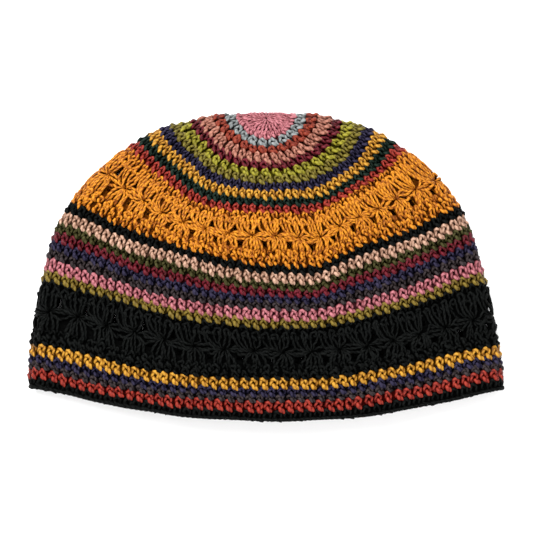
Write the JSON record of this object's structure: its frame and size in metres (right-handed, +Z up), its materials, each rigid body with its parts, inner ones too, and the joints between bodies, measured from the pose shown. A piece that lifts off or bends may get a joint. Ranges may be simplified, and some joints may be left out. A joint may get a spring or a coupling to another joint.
{
  "type": "crochet kufi cap",
  "caption": "Soft brimless skullcap crocheted in rounds of coloured cotton with openwork star bands, lying flat on its side with the mouth towards the viewer.",
  "frame": {"origin": "centre of the cap's box on the surface that it lies on", "axes": "+X to the cap's right as it is seen from above, +Y towards the crown with the mouth at -Y, +Z up from the surface"},
  "size_m": [0.2774, 0.1811, 0.048],
  "materials": {
    "yarn_pink": "crocheted mercerised cotton yarn, slightly shiny",
    "yarn_grey": "crocheted mercerised cotton yarn, slightly shiny",
    "yarn_rust": "crocheted mercerised cotton yarn, slightly shiny",
    "yarn_peach": "crocheted mercerised cotton yarn, slightly shiny",
    "yarn_maroon": "crocheted mercerised cotton yarn, slightly shiny",
    "yarn_lime": "crocheted mercerised cotton yarn, slightly shiny",
    "yarn_olive": "crocheted mercerised cotton yarn, slightly shiny",
    "yarn_navy": "crocheted mercerised cotton yarn, slightly shiny",
    "yarn_yellow": "crocheted mercerised cotton yarn, slightly shiny",
    "yarn_dark_green": "crocheted mercerised cotton yarn, slightly shiny",
    "yarn_red": "crocheted mercerised cotton yarn, slightly shiny",
    "yarn_orange": "crocheted mercerised cotton yarn, slightly shiny",
    "yarn_black": "crocheted mercerised cotton yarn, slightly shiny",
    "yarn_light_peach": "crocheted mercerised cotton yarn, slightly shiny",
    "yarn_dark_olive": "crocheted mercerised cotton yarn, slightly shiny",
    "yarn_dark_brown": "crocheted mercerised cotton yarn, slightly shiny",
    "yarn_mustard": "crocheted mercerised cotton yarn, slightly shiny"
  },
  "bodies": {
    "root": {"crown_centre_pink": "yarn_pink", "round_02_grey": "yarn_grey", "round_03_rust": "yarn_rust", "round_04_peach": "yarn_peach", "round_05_maroon": "yarn_maroon", "round_06_lime": "yarn_lime", "round_07_olive": "yarn_olive", "round_08_navy": "yarn_navy", "round_09_yellow": "yarn_yellow", "round_10_dark_green": "yarn_dark_green", "round_11_red": "yarn_red", "star_band_12_orange": "yarn_orange", "round_13_black": "yarn_black", "round_14_light_peach": "yarn_light_peach", "round_15_dark_olive": "yarn_dark_olive", "round_16_maroon": "yarn_maroon", "round_17_navy": "yarn_navy", "round_18_dark_brown": "yarn_dark_brown", "round_19_pink": "yarn_pink", "round_20_mustard": "yarn_mustard", "star_band_21_black": "yarn_black", "round_22_yellow": "yarn_yellow", "round_23_navy": "yarn_navy", "round_24_dark_brown": "yarn_dark_brown", "round_25_red": "yarn_red", "rim_26_black": "yarn_black"}
  },
  "joints": []
}
